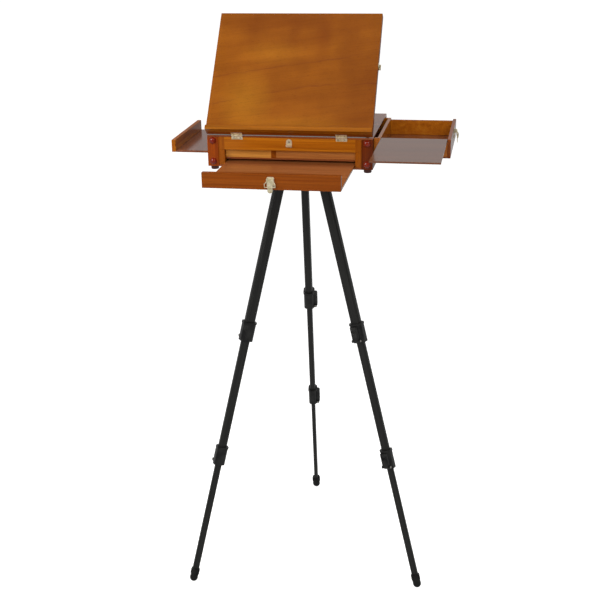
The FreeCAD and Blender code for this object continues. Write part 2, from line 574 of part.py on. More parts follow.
def clamp_collar(outer_size, inner_size, top):
    """The moulded collar at the end of a tube: it grips that tube and guides the next one."""
    bottom = top - CLAMP_LENGTH
    step = top - CLAMP_GRIP
    body = oval_prism(outer_size, bottom, top - CLAMP_LIP, CLAMP_WALL)
    body = body.fuse(oval_prism(outer_size, top - CLAMP_LIP, top, CLAMP_WALL + 1.2))
    pin_y, pin_z = clamp_pin(outer_size, top)
    ear_x = CLAMP_LEVER_WIDTH / 2 + TURN_GAP
    ear_thick = 2.6
    ear_root = pin_y + CLAMP_PIN_OUT + CLAMP_WALL * 0.8
    for x0 in (ear_x, -ear_x - ear_thick):
        ear = box(x0, x0 + ear_thick, pin_y, ear_root, pin_z - 4.0, pin_z + 4.0)
        ear = ear.fuse(rod((x0, pin_y, pin_z), (x0 + ear_thick, pin_y, pin_z), 4.0))
        body = body.fuse(ear)
    pin_end = ear_x + ear_thick
    body = body.fuse(rod((-pin_end, pin_y, pin_z), (pin_end, pin_y, pin_z), CLAMP_PIN_RADIUS))
    body = body.cut(oval_prism(outer_size, step, top + 1))
    return body.cut(oval_prism(inner_size, bottom - 1, step + 1, TUBE_GAP)).removeSplitter()


def clamp_lever(outer_size, top):
    """The flip lever, closed flat against its collar."""
    pin_y, pin_z = clamp_pin(outer_size, top)
    half = CLAMP_LEVER_WIDTH / 2
    near = pin_y + CLAMP_PIN_OUT - TURN_GAP
    far = near - CLAMP_LEVER_THICK
    end_z = pin_z + CLAMP_LEVER_LENGTH
    blade = box(-half, half, far, near, pin_z, end_z)
    outer = [e for e in blade.Edges if e.CenterOfMass.y < far + 0.1 and e.CenterOfMass.z > pin_z + 0.1]
    blade = blade.makeFillet(3.6, outer)
    grip_y, grip_z = far - 7.5, end_z - 13.0
    grip = rod((-2 * half, grip_y, grip_z), (2 * half, grip_y, grip_z), 9.0)
    barrel = rod((-half, pin_y, pin_z), (half, pin_y, pin_z), 3.1)
    hole = rod((-half - 1, pin_y, pin_z), (half + 1, pin_y, pin_z), CLAMP_PIN_RADIUS + RUNNING_GAP)
    return blade.fuse(barrel).cut(grip).cut(hole).removeSplitter()


def rubber_foot(tube_size, top, ball_z):
    """A tapered boot with a ball end, pushed over the last tube."""
    cone = Part.makeCone(11.5, BALL_RADIUS * 0.96, top - ball_z, V(0, 0, top), V(0, 0, -1))
    foot = cone.fuse(Part.makeSphere(BALL_RADIUS, V(0, 0, ball_z))).removeSplitter()
    return foot.cut(oval_prism(tube_size, ball_z + 6, top + 1))


def make_leg(name, azimuth):
    """One leg, modelled hanging straight down from its hip, then spread and turned into place."""
    upper, middle, lower = TUBE_SECTIONS
    upper_clamp = -(UPPER_TUBE_LENGTH - CLAMP_GRIP)
    lower_clamp = -LOWER_CLAMP_AT
    foot_top = -(LEG_LENGTH + BALL_RADIUS - RUBBER_FOOT_LENGTH)
    hip_bore = rod((0, -50, 0), (0, 50, 0), HIP_PIN_RADIUS + RUNNING_GAP)
    upper_tube = tube(upper, -UPPER_TUBE_LENGTH, 13.0).cut(hip_bore)
    middle_tube = tube(middle, lower_clamp - CLAMP_GRIP, upper_clamp + TUBE_OVERLAP)
    lower_tube = tube(lower, -LEG_LENGTH + 8.0, lower_clamp + TUBE_OVERLAP)
    nodes = {
        name + "_upper_tube": upper_tube,
        name + "_upper_clamp": clamp_collar(upper, middle, upper_clamp),
        name + "_upper_lever": clamp_lever(upper, upper_clamp),
        name + "_middle_tube": middle_tube,
        name + "_lower_clamp": clamp_collar(middle, lower, lower_clamp),
        name + "_lower_lever": clamp_lever(middle, lower_clamp),
        name + "_lower_tube": lower_tube,
        name + "_rubber_foot": rubber_foot(lower, foot_top, -LEG_LENGTH),
    }
    for solid in nodes.values():
        place_leg(solid, azimuth)
    return nodes


def place_leg(solid, azimuth):
    solid.rotate(V(0, 0, 0), V(0, 1, 0), -LEG_SPREAD)
    solid.translate(V(HIP_RADIUS, 0, HIP_Z))
    solid.rotate(V(0, 0, 0), V(0, 0, 1), azimuth)
    solid.translate(V(0, TRIPOD_Y, 0))


def make_hub():
    """The spider under the box: a flange against the bottom board and a pair of ears for each leg."""
    body_top, body_bottom = HIP_Z + 12.0, HIP_Z - 12.0
    flange_bottom = BOX_BOTTOM - 6.0
    hub = Part.makeCylinder(46.0, BOX_BOTTOM - flange_bottom, V(0, 0, flange_bottom))
    hub = hub.fuse(Part.makeCylinder(HUB_RADIUS * 0.62, flange_bottom - body_top, V(0, 0, body_top)))
    hub = hub.fuse(Part.makeCylinder(HUB_RADIUS, body_top - body_bottom, V(0, 0, body_bottom)))
    ear_y = TUBE_SECTIONS[0][1] / 2 + TURN_GAP
    reach = HIP_RADIUS + 11.0
    for azimuth in LEG_AZIMUTHS.values():
        for y0 in (ear_y, -ear_y - HUB_EAR_THICK):
            ear = box(HUB_RADIUS * 0.5, HIP_RADIUS, y0, y0 + HUB_EAR_THICK, body_bottom + 1, body_top - 1)
            ear = ear.fuse(rod((HIP_RADIUS, y0, HIP_Z), (HIP_RADIUS, y0 + HUB_EAR_THICK, HIP_Z), 11.0))
            ear.rotate(V(0, 0, 0), V(0, 0, 1), azimuth)
            hub = hub.fuse(ear)
    for azimuth in LEG_AZIMUTHS.values():
        bore = rod((HIP_RADIUS, -reach, HIP_Z), (HIP_RADIUS, reach, HIP_Z), HIP_PIN_RADIUS + RUNNING_GAP)
        swing = box(HIP_RADIUS - 20.0, HIP_RADIUS + 30.0, -ear_y, ear_y, HIP_Z - 30, HIP_Z + 17)
        for cutter in (bore, swing):
            cutter.rotate(V(0, 0, 0), V(0, 0, 1), azimuth)
            hub = hub.cut(cutter)
    screw_hole = Part.makeCylinder(SCREW_RADIUS + TURN_GAP, 200.0, V(0, 0, HIP_Z - 50))
    hub = hub.cut(screw_hole).removeSplitter()
    hub.translate(V(0, TRIPOD_Y, 0))

    half = TUBE_SECTIONS[0][1] / 2 + TURN_GAP + HUB_EAR_THICK
    pins = []
    for azimuth in LEG_AZIMUTHS.values():
        pin = rod((HIP_RADIUS, -half, HIP_Z), (HIP_RADIUS, half, HIP_Z), HIP_PIN_RADIUS)
        head = rod((HIP_RADIUS, half, HIP_Z), (HIP_RADIUS, half + 3, HIP_Z), HIP_PIN_RADIUS * 1.8)
        nut = rod((HIP_RADIUS, -half - 3, HIP_Z), (HIP_RADIUS, -half, HIP_Z), HIP_PIN_RADIUS * 1.8)
        pin = pin.fuse([head, nut]).removeSplitter()
        pin.rotate(V(0, 0, 0), V(0, 0, 1), azimuth)
        pin.translate(V(0, TRIPOD_Y, 0))
        pins.append(pin)

    shank = Part.makeCylinder(SCREW_RADIUS, FLOOR_Z - (HIP_Z - 14.0) - 1.0, V(0, 0, HIP_Z - 14.0))
    knob = Part.makeCylinder(15.0, 12.0, V(0, 0, HIP_Z - 26.0))
    knob = knob.makeFillet(2.0, [knob.Edges[0], knob.Edges[2]])
    screw = shank.fuse(knob).removeSplitter()
    screw.translate(V(0, TRIPOD_Y, 0))
    return {"tripod_hub": hub, "hip_pins": group(pins), "mounting_screw": screw}


SCREW_RADIUS = 4.76          # a 3/8 inch tripod screw


# ---------------------------------------------------------------- assembly

def build():
    nodes = make_box_shell()
    nodes.update(make_lid())
    nodes.update(make_prop())
    nodes.update(make_racks())
    nodes.update(make_tray())
    nodes.update(make_shelf())
    nodes.update(make_drawer())
    nodes["front_catch"] = on_front(catch_plate(), 0, BOX_TOP - TOP_BOARD_THICK - 2.0)
    nodes.update(make_hub())
    for name, azimuth in LEG_AZIMUTHS.items():
        nodes.update(make_leg(name, azimuth))
    screw = nodes["mounting_screw"]
    nodes["bottom_board"] = nodes["bottom_board"].cut(screw)
    return nodes


NODES = build()
BOUNDS = FreeCAD.BoundBox()
for shape in NODES.values():
    BOUNDS.add(shape.optimalBoundingBox(True, False))
ORIGIN = V(BOUNDS.Center.x, BOUNDS.Center.y, BOUNDS.ZMin)

os.makedirs("parts", exist_ok=True)
for node_name, shape in NODES.items():
    shape.translate(ORIGIN * -1)
    shape.exportStep("parts/" + node_name + ".step")
print(len(NODES), "nodes, size", round(BOUNDS.XLength), round(BOUNDS.YLength), round(BOUNDS.ZLength))
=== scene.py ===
# %% [markdown]
# # A sketch-box easel, finished for the camera
#
# The easel's boards, latches and leg tubes are solids with real sizes and joints. This lesson dresses
# them: every board gets its own grain, the brass and the anodised tubes get their sheen, and the small
# things that a joiner would add last, such as screw heads, finger ribs and a knurled knob, are modelled
# in mesh code.

# %% Load the solids
import json
import math

import bmesh
import bpy
from mathutils import Matrix, Vector


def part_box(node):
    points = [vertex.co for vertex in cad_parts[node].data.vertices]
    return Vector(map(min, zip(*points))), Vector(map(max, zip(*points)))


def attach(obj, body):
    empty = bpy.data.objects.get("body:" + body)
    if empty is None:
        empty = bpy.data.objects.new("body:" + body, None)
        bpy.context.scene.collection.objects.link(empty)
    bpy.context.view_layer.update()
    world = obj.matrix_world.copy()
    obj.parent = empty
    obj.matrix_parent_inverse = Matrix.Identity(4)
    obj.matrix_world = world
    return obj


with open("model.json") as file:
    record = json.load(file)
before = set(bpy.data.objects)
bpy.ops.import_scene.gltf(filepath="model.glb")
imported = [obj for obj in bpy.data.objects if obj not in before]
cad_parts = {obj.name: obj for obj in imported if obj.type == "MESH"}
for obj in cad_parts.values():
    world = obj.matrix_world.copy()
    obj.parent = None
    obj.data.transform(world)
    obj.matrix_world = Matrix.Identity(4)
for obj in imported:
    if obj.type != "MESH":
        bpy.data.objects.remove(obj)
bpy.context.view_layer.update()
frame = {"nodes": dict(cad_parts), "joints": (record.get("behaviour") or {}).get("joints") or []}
nodes = frame["nodes"]

# %% [markdown]
# ## Places and sizes
#
# Positions are read from the solids, so that nothing has to be fitted by eye. Sizes are easier to think
# about in millimetres, while Blender works in metres, so one constant turns one into the other. The lid
# stands at 51 degrees, and whatever sits on it is placed as if the lid were shut, then swung up about
# the hinge line by the same angle.

# %% Where things are
MM = 0.001
LID_TILT = math.radians(51)

box_low, box_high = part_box("top_board")
box_left, box_right = box_low.x, box_high.x
box_front = box_low.y
box_top = box_high.z
box_middle_x = (box_left + box_right) / 2
joint_at = {joint["name"]: joint for joint in frame["joints"]}
hinge_line = Vector(joint_at["lid_tilt"]["pos_m"])
hinge_line.x = box_middle_x
lid_turn = Matrix.Rotation(LID_TILT, 4, "X")
swing_up = Matrix.Translation(hinge_line) @ lid_turn @ Matrix.Translation(-hinge_line)
print("box is", round((box_right - box_left) / MM), "mm wide, its top", round(box_top / MM), "mm up")


# %% [markdown]
# ## Helpers for shader nodes
#
# Colours are chosen as sRGB hex values, which is how a colour picker shows them, and shaders want them
# linear. `linear` converts them. `add` places one shader node, sets its options and joins its inputs, so
# that a material reads from top to bottom like a recipe. An input can be named or numbered, because some
# nodes have several inputs of the same name.

# %% Colour and node helpers
def linear(hex_colour):
    """An sRGB hex colour as a linear RGBA tuple."""
    channels = [int(hex_colour[i:i + 2], 16) / 255 for i in (1, 3, 5)]
    return tuple(c / 12.92 if c <= 0.04045 else ((c + 0.055) / 1.055) ** 2.4 for c in channels) + (1.0,)


def add(tree, kind, inputs=None, stops=(), **settings):
    """Add one node. An input given a node or a socket is linked to it, and any other value is set on it.
    Stops are the (position, colour) pairs of a colour ramp."""
    node = tree.nodes.new(kind)
    for name, value in settings.items():
        setattr(node, name, value)
    for key, value in (inputs or {}).items():
        if isinstance(value, bpy.types.Node):
            value = next(output for output in value.outputs if output.enabled)
        if isinstance(value, bpy.types.NodeSocket):
            tree.links.new(value, node.inputs[key])
        else:
            node.inputs[key].default_value = value
    for index, (position, colour) in enumerate(stops):
        if index >= len(node.color_ramp.elements):
            node.color_ramp.elements.new(position)
        node.color_ramp.elements[index].position = position
        node.color_ramp.elements[index].color = linear(colour)
    return node


def new_material(name):
    """An empty material and its node tree."""
    material = bpy.data.materials.new(name)
    material.use_nodes = True
    material.node_tree.nodes.clear()
    return material, material.node_tree


def dress(material, *names):
    """Give the named solids a material."""
    for name in names:
        slots = nodes[name].data.materials
        slots.clear()
        slots.append(material)


print("helpers ready")


# %% [markdown]
# ## Stained softwood
#
# The box is softwood, stained a warm reddish brown. Three things make wood read as wood. Broad soft
# bands, several millimetres wide, come from the growth rings. Fine lines run the whole length of the
# board. Short dark dashes, a fraction of a millimetre wide, are the pores, and they are drawn at about
# half a millimetre because finer ones wouldn't show. All three are noise that is stretched along the
# grain, so the recipe is told which way its board was sawn. A scale is one over a size: a feature 8 mm
# wide needs a scale of 1000 / 8 per metre.

# %% Grain as a recipe
GRAIN_TURNS = {"X": (0, 0, 0), "Y": (0, 0, math.radians(90)), "Z": (0, math.radians(90), 0)}


def stained_grain(tree, along, stain, band_mm=12.0, tilt=0.0, start=(0.31, 0.17, 0.05)):
    """The colour and the fine lines of a board whose grain runs along X, Y or Z. `stain` holds its dark,
    middle and light colours, and `start` is where in the log the board was cut."""
    place = add(tree, "ShaderNodeTexCoord").outputs["Object"]
    flat = add(tree, "ShaderNodeMapping", {"Vector": place, "Rotation": (-tilt, 0, 0)})
    sawn = add(tree, "ShaderNodeMapping", {"Vector": flat, "Rotation": GRAIN_TURNS[along], "Location": start})
    patterns = []
    for across_mm, along_mm, detail in ((band_mm, 420.0, 2.5), (1.8, 240.0, 4.0), (0.5, 9.0, 2.0)):
        scale = (1000 / along_mm, 1000 / across_mm, 1000 / across_mm)
        stretched = add(tree, "ShaderNodeMapping", {"Vector": sawn, "Scale": scale})
        patterns.append(add(tree, "ShaderNodeTexNoise", {
            "Vector": stretched, "Scale": 1.0, "Detail": detail, "Roughness": 0.6, "Distortion": 0.3,
        }))
    bands, lines, pores = patterns
    dark, middle, light = stain
    colour = add(tree, "ShaderNodeValToRGB", {"Fac": bands}, [(0.30, dark), (0.50, middle), (0.70, light)])
    line_shade = add(tree, "ShaderNodeValToRGB", {"Fac": lines}, [(0.34, "#bdbdbd"), (0.54, "#ffffff")])
    colour = add(tree, "ShaderNodeMix", {0: 0.55, 6: colour, 7: line_shade},
                 data_type="RGBA", blend_type="MULTIPLY")
    pore_shade = add(tree, "ShaderNodeValToRGB", {"Fac": pores}, [(0.30, "#a0a0a0"), (0.42, "#ffffff")])
    colour = add(tree, "ShaderNodeMix", {0: 0.35, 6: colour, 7: pore_shade},
                 data_type="RGBA", blend_type="MULTIPLY")
    return colour, lines


print("grain recipe ready")


# %% [markdown]
# ## Clear varnish
#
# Over the stain lies a clear gloss varnish. It is smooth, but it sinks a little into the grain, so the
# wood below gets a shallow bump. In the Principled shader the varnish is the coat. Face on it is almost
# invisible, and at a low angle it mirrors the white studio wall, which is why the flat tops look greyer
# than the upright faces. The stained wood's own shine is turned down, because the varnish covers it.

# %% Varnish over a colour
def varnish(tree, colour, relief, coat=0.3, coat_roughness=0.16):
    """Close a wood material: stain and relief below, a clear coat on top."""
    bump = add(tree, "ShaderNodeBump", {"Height": relief, "Strength": 0.10, "Distance": 0.3 * MM})
    shader = add(tree, "ShaderNodeBsdfPrincipled", {
        "Base Color": colour, "Normal": bump, "Roughness": 0.55, "Specular IOR Level": 0.03,
        "Coat Weight": coat, "Coat Roughness": coat_roughness, "Coat IOR": 1.5,
    })
    add(tree, "ShaderNodeOutputMaterial", {"Surface": shader})


def stained_board(name, along, stain, *solids, coat=0.3, **grain):
    """Dress solids whose boards all run the same way."""
    material, tree = new_material(name)
    colour, lines = stained_grain(tree, along, stain, **grain)
    varnish(tree, colour, lines, coat)
    dress(material, *solids)
    return material


print("varnish ready")

# %% [markdown]
# ## Boards that run one way
#
# Each board is dressed by the way it was sawn and by the batch of wood that it came from. The front
# rails are warm orange brown, the tray's front is a little deeper, and the posts are redder and darker;
# the right-hand posts are darker still, which is painted shade.
# The floors and the top are thin plywood with a wide, quiet figure.

# %% Single boards
RAIL_STAIN = ("#864305", "#9a540a", "#aa6210")
LEDGE_STAIN = ("#7a4208", "#884c0b", "#945610")
STILE_STAIN = ("#7a3b05", "#8b4708", "#98520c")
DRAWER_STAIN = ("#98500b", "#a85d10", "#b46a18")
# painted shade: a darker copy of the post stain for the right-hand posts, standing in for the left softbox's
# falloff
SHADED_RIGHT_POST_STAIN = ("#4e1a03", "#5a2104", "#662806")
FASCIA_STAIN = ("#6c3004", "#7a3905", "#86420a")
POST_STAIN = ("#7a3104", "#8a3a05", "#964408")
PLY_STAIN = ("#74391a", "#844520", "#925028")
SHELF_STAIN = ("#64321a", "#743e20", "#804828")
TRAY_STAIN = ("#8a4e26", "#98592f", "#a46438")
PALETTE_STAIN = ("#5a3420", "#643c26", "#6c432b")

stained_board("stained_rail_wood", "X", RAIL_STAIN, "back_board", "prop_racks", band_mm=9.0)
stained_board("stained_ledge_wood", "X", LEDGE_STAIN, "canvas_ledge", band_mm=9.0, tilt=LID_TILT)
stained_board("stained_tray_front", "X", FASCIA_STAIN, "tray_fascia", band_mm=16.0)
stained_board("stained_side_wood", "Y", RAIL_STAIN, "side_boards", "shelf_wall", band_mm=10.0)
stained_board("stained_drawer_front", "Y", FASCIA_STAIN, "drawer_fascia", band_mm=12.0, coat=0.6)
stained_board("birch_plywood_top", "X", PLY_STAIN, "top_board", "mid_board", "bottom_board",
              band_mm=24.0, coat=1.0)
stained_board("birch_plywood_tray", "X", TRAY_STAIN, "tray_floor", band_mm=26.0, coat=0.7)
stained_board("birch_plywood_floors", "Y", SHELF_STAIN, "shelf_floor", "drawer_floor", band_mm=26.0, coat=1.0)
stained_board("palette_board", "X", PALETTE_STAIN, "palette", band_mm=30.0, coat=1.0)
print("dressed the single boards")


# %% [markdown]
# ## Boards that meet at a right angle
#
# Some solids hold boards that meet at a right angle, such as a frame's rails and stiles. Each real board
# was sawn along its own length, so the grain has to turn at the joint. `within` marks a region by its
# spans on the X, Y and Z axes, and the mark switches between two runs of the same grain recipe.

# %% Joined boards
EVERYWHERE = 9.0


def within(tree, *spans):
    """A mark that is 1 where a point lies inside every (axis, low, high) span, and 0 elsewhere."""
    place = add(tree, "ShaderNodeTexCoord").outputs["Object"]
    split = add(tree, "ShaderNodeSeparateXYZ", {"Vector": place})
    mark = 1.0
    for axis, low, high in spans:
        inside = add(tree, "ShaderNodeMath", {
            0: split.outputs[axis], 1: (low + high) / 2, 2: (high - low) / 2,
        }, operation="COMPARE")
        mark = add(tree, "ShaderNodeMath", {0: mark, 1: inside}, operation="MULTIPLY")
    return mark


def joined_boards(name, outside, inside, spans, stain, solid, inside_stain=None, coat=0.3, **grain):
    """Dress a solid whose grain runs `inside` within the spans and `outside` beyond them."""
    material, tree = new_material(name)
    outer, outer_lines = stained_grain(tree, outside, stain, **grain)
    inner, inner_lines = stained_grain(tree, inside, inside_stain or stain, start=(0.05, 0.4, 0.2), **grain)
    mark = within(tree, *spans)
    colour = add(tree, "ShaderNodeMix", {0: mark, 6: outer, 7: inner}, data_type="RGBA")
    relief = add(tree, "ShaderNodeMix", {0: mark, 2: outer_lines, 3: inner_lines})
    varnish(tree, colour, relief, coat)
    dress(material, solid)


STILE, LID_RAIL, DRAWER_WALL = 15 * MM, 18 * MM, 8 * MM
frame_low, frame_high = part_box("front_frame")
joined_boards("stained_front_frame", "Z", "X", [("X", frame_low.x + STILE, frame_high.x - STILE)],
              STILE_STAIN, "front_frame", inside_stain=RAIL_STAIN, band_mm=9.0)
joined_boards("stained_lid_frame", "Y", "X", [("X", box_left + LID_RAIL, box_right - LID_RAIL)],
              FASCIA_STAIN, "lid_frame", tilt=LID_TILT)
# Here the mark paints shade: the posts right of the middle get the darker copy of the stain, standing in for
# light falling off from the left
joined_boards("post_wood_right_painted_shade", "Z", "Z", [("X", box_middle_x, EVERYWHERE)], POST_STAIN, "corner_posts",
              inside_stain=SHADED_RIGHT_POST_STAIN, band_mm=9.0)
walls_low, walls_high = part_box("drawer_walls")
joined_boards("stained_drawer_walls", "X", "Y",
              [("Y", walls_low.y + DRAWER_WALL, walls_high.y - DRAWER_WALL)],
              DRAWER_STAIN, "drawer_walls", coat=0.9)
print("dressed the joined boards")

# %% [markdown]
# ## The walls inside the box
#
# Two thin panels close the upper compartments behind the front frame, either side of the divider. Their
# colours are painted light and shade: the left one is painted a pale tan, as if lit through the box's open
# left side, and the right one a redder, darker shade, as if shaded by the divider. Each gets its own run
# of the grain recipe, and the divider behind them runs from front to back.

# %% Compartment walls
DIVIDER_OFF_MIDDLE, FRONT_WALLS_BACK = -41 * MM, 20 * MM
# painted light and shade: a pale, lit tan for the left wall and a darker, shaded red for the right wall
LIT_LEFT_WALL_STAIN = ("#b4742e", "#c4843a", "#d09246")
SHADED_RIGHT_WALL_STAIN = ("#8c4e22", "#9c5c2a", "#aa6a34")

material, tree = new_material("inner_walls_painted_light_and_shade")
divider_x = box_middle_x + DIVIDER_OFF_MIDDLE
front_band = ("Y", box_front, box_front + FRONT_WALLS_BACK)
colour, relief = stained_grain(tree, "Y", FASCIA_STAIN)
for stain, low, high in ((LIT_LEFT_WALL_STAIN, box_left, divider_x - 6 * MM),
                         (SHADED_RIGHT_WALL_STAIN, divider_x + 6 * MM, box_right)):
    panel, _ = stained_grain(tree, "X", stain, band_mm=14.0, start=(low, 0.2, 0.1))
    mark = within(tree, front_band, ("X", low, high))
    colour = add(tree, "ShaderNodeMix", {0: mark, 6: colour, 7: panel}, data_type="RGBA")
varnish(tree, colour, relief)
dress(material, "compartment_walls")
print("dressed the inner walls")


# %% [markdown]
# ## The lid's figured panel
#
# The lid is one sheet of veneered plywood, and its face is the easel's showpiece. Its figure is broad
# and slow, with two long dark growth lines that climb to the right and a few faint bands across the grain
# near the top. Noise alone can't place such lines. The long ones are drawn as the distance from a gently
# bent curve, the soft bands as stretched round gradients, and noise only breaks them up. Two broad patches
# are painted light and shade: golden brown at the lower left and darker and redder towards the right, as
# if lit by the softbox at the left. The coordinates are first turned by the lid's tilt, so that X runs
# across the panel and Y runs up it, in millimetres from the middle of the hinge line.

# %% Growth lines and soft bands
def growth_line(tree, across, up, height, slope, bend, width, wander):
    """A mark that is 1 on the curve up = height + slope across + bend across^2, and 0 at `width` from it."""
    bent = add(tree, "ShaderNodeMath", {0: across, 1: bend, 2: slope}, operation="MULTIPLY_ADD")
    curve = add(tree, "ShaderNodeMath", {0: bent, 1: across, 2: height}, operation="MULTIPLY_ADD")
    wandering = add(tree, "ShaderNodeMath", {0: curve, 1: wander}, operation="ADD")
    distance = add(tree, "ShaderNodeMath", {0: up, 1: wandering}, operation="SUBTRACT")
    gap = add(tree, "ShaderNodeMath", {0: distance}, operation="ABSOLUTE")
    return add(tree, "ShaderNodeMapRange", {"Value": gap, "From Min": width, "From Max": 0.0},
               interpolation_type="SMOOTHSTEP")


def soft_patch(tree, space, centre, size):
    """A mark that is 1 in the middle of an oval patch and fades to 0 at its edge."""
    local = add(tree, "ShaderNodeMapping", {
        "Vector": space, "Location": (*centre, 0), "Scale": (*size, 1e6),
    }, vector_type="TEXTURE")
    return add(tree, "ShaderNodeTexGradient", {"Vector": local}, gradient_type="SPHERICAL").outputs["Fac"]


print("figure marks ready")

# %% The panel's material
PANEL_STAIN = [(0.25, "#7a4108"), (0.50, "#84480a"), (0.75, "#8f510e")]
# height, slope, bend, width and strength of each growth line, in millimetres
GROWTH_LINES = (
    (183.0, 0.178, 0.0, 3.0, 0.62), (188.0, 0.178, 0.0, 10.0, 0.14),
    (118.0, 0.160, -0.0004, 3.2, 0.72), (123.0, 0.160, -0.0004, 11.0, 0.18),
    (58.0, 0.130, 0.0, 3.0, 0.26), (252.0, 0.120, 0.0, 3.0, 0.16), (146.0, 0.170, -0.0002, 2.4, 0.18),
)
# centre, half sizes and strength of each soft dark band; the broad patch at (190, 120) is painted shade,
# the right of the panel darkened as if falling away from the left softbox
DARK_BANDS_AND_PAINTED_SHADE = (
    ((-8, 275), (22, 70), 0.26), ((62, 262), (28, 80), 0.50), ((-112, 278), (28, 60), 0.26),
    ((130, 250), (40, 110), 0.26), ((90, 60), (180, 80), 0.25),
    ((190, 120), (110, 200), 0.50), ((-20, 300), (300, 80), 0.50),
)
# the broad golden patch at (-112, 85) is painted light: the lower left brightened as if by the left softbox
GOLDEN_BANDS_AND_PAINTED_LIGHT = (((-112, 85), (75, 95), 0.55), ((-60, 215), (90, 40), 0.25), ((20, 25), (160, 22), 0.30))

material, tree = new_material("figured_veneer_gloss_varnish")
place = add(tree, "ShaderNodeTexCoord").outputs["Object"]
from_hinge = add(tree, "ShaderNodeVectorMath", {0: place, 1: hinge_line}, operation="SUBTRACT")
panel_mm = add(tree, "ShaderNodeMapping", {
    "Vector": from_hinge, "Rotation": (-LID_TILT, 0, 0), "Scale": (1000, 1000, 1000),
})
split = add(tree, "ShaderNodeSeparateXYZ", {"Vector": panel_mm})
climbing = add(tree, "ShaderNodeMapping", {"Vector": panel_mm, "Rotation": (0, 0, math.radians(-9))})
drawn = {}
for name, across_mm, along_mm, detail in (
    ("figure", 44.0, 260.0, 2.0), ("wander", 16.0, 36.0, 2.0), ("breaks", 22.0, 90.0, 2.0),
    ("lines", 1.6, 130.0, 4.0), ("pores", 0.8, 5.0, 2.0), ("clouds", 60.0, 60.0, 2.0),
):
    stretched = add(tree, "ShaderNodeMapping", {
        "Vector": climbing, "Scale": (1 / along_mm, 1 / across_mm, 1 / across_mm),
    })
    drawn[name] = add(tree, "ShaderNodeTexNoise", {"Vector": stretched, "Scale": 1.0, "Detail": detail})

colour = add(tree, "ShaderNodeValToRGB", {"Fac": drawn["figure"]}, PANEL_STAIN)
wander = add(tree, "ShaderNodeMath", {0: drawn["wander"], 1: 14.0, 2: -7.0}, operation="MULTIPLY_ADD")
unbroken = add(tree, "ShaderNodeMapRange", {"Value": drawn["breaks"], "From Min": 0.32, "From Max": 0.6})
for height, slope, bend, width, strength in GROWTH_LINES:
    line = growth_line(tree, split.outputs["X"], split.outputs["Y"], height, slope, bend, width, wander)
    amount = add(tree, "ShaderNodeMath", {0: line, 1: unbroken}, operation="MULTIPLY")
    amount = add(tree, "ShaderNodeMath", {0: amount, 1: strength}, operation="MULTIPLY")
    colour = add(tree, "ShaderNodeMix", {0: amount, 6: colour, 7: linear("#6b3510")}, data_type="RGBA")
for bands, tint in ((DARK_BANDS_AND_PAINTED_SHADE, "#682f07"), (GOLDEN_BANDS_AND_PAINTED_LIGHT, "#a06814")):
    for centre, size, strength in bands:
        patch = soft_patch(tree, panel_mm, centre, size)
        amount = add(tree, "ShaderNodeMath", {0: patch, 1: strength}, operation="MULTIPLY")
        colour = add(tree, "ShaderNodeMix", {0: amount, 6: colour, 7: linear(tint)}, data_type="RGBA")
for name, shades, strength in (
    ("clouds", [(0.35, "#e6e2de"), (0.60, "#ffffff")], 0.5),
    ("lines", [(0.36, "#d4d0cc"), (0.54, "#ffffff")], 0.25),
    ("pores", [(0.30, "#9c8f86"), (0.38, "#ffffff")], 0.5),
):
    shade = add(tree, "ShaderNodeValToRGB", {"Fac": drawn[name]}, shades)
    colour = add(tree, "ShaderNodeMix", {0: strength, 6: colour, 7: shade},
                 data_type="RGBA", blend_type="MULTIPLY")
varnish(tree, colour, drawn["lines"])
dress(material, "lid_panel")
print("dressed the lid's panel with", len(GROWTH_LINES), "growth lines")

# %% [markdown]
# ## Turned wooden buttons
#
# The screw holes in the posts are hidden by domed wooden buttons, stained a deep red and dipped in thick
# varnish. A dome catches small bright highlights, so its coat is much smoother than that of the boards.
# The feet under the posts are the same turned wood, painted almost black: painted shade, standing in
# for the shadow under the box.

# %% Buttons and box feet
for name, stain, solid in (
    ("turned_button_red_stain", ("#5e1408", "#741d0b", "#882a11"), "button_plugs"),
    # painted shade: the button wood darkened almost to black for the feet in the box's shadow
    ("turned_foot_painted_shade", ("#34120a", "#42180d", "#4e2012"), "box_feet"),
):
    material, tree = new_material(name)
    colour, lines = stained_grain(tree, "Z", stain, band_mm=4.0)
    varnish(tree, colour, lines, coat=1.0, coat_roughness=0.05)
    dress(material, solid)
print("dressed the buttons and the box's feet")


# %% [markdown]
# ## Pale brass and bright steel
#
# The hinges, catches and draw latches are pressed steel with thin pale brass plating. Plating follows
# the stamping's slight waviness and picks up cloudy marks from handling, so the same soft noise moves
# the colour, the roughness and a very shallow bump. The prop is bare bright steel, greyer and duller.
# The steel is fully metallic, so its colour is the colour of its reflection. The brass is a little
# less than that, because its clear lacquer scatters some light, which keeps it cream coloured even
# where it mirrors the dim side of the room.

# %% Plated and bare metal
def handled_metal(name, bright, dull, roughness, mark_mm, metallic=1.0):
    """Smooth metal with cloudy handling marks."""
    material, tree = new_material(name)
    place = add(tree, "ShaderNodeTexCoord").outputs["Object"]
    marks = add(tree, "ShaderNodeTexNoise", {
        "Vector": place, "Scale": 1000 / mark_mm, "Detail": 4.0, "Roughness": 0.6,
    })
    colour = add(tree, "ShaderNodeValToRGB", {"Fac": marks}, [(0.36, dull), (0.60, bright)])
    sheen = add(tree, "ShaderNodeMapRange", {
        "Value": marks, "To Min": roughness * 1.4, "To Max": roughness * 0.7,
    })
    bump = add(tree, "ShaderNodeBump", {"Height": marks, "Strength": 0.12, "Distance": 0.3 * MM})
    shader = add(tree, "ShaderNodeBsdfPrincipled", {
        "Base Color": colour, "Roughness": sheen, "Normal": bump, "Metallic": metallic,
    })
    add(tree, "ShaderNodeOutputMaterial", {"Surface": shader})
    return material


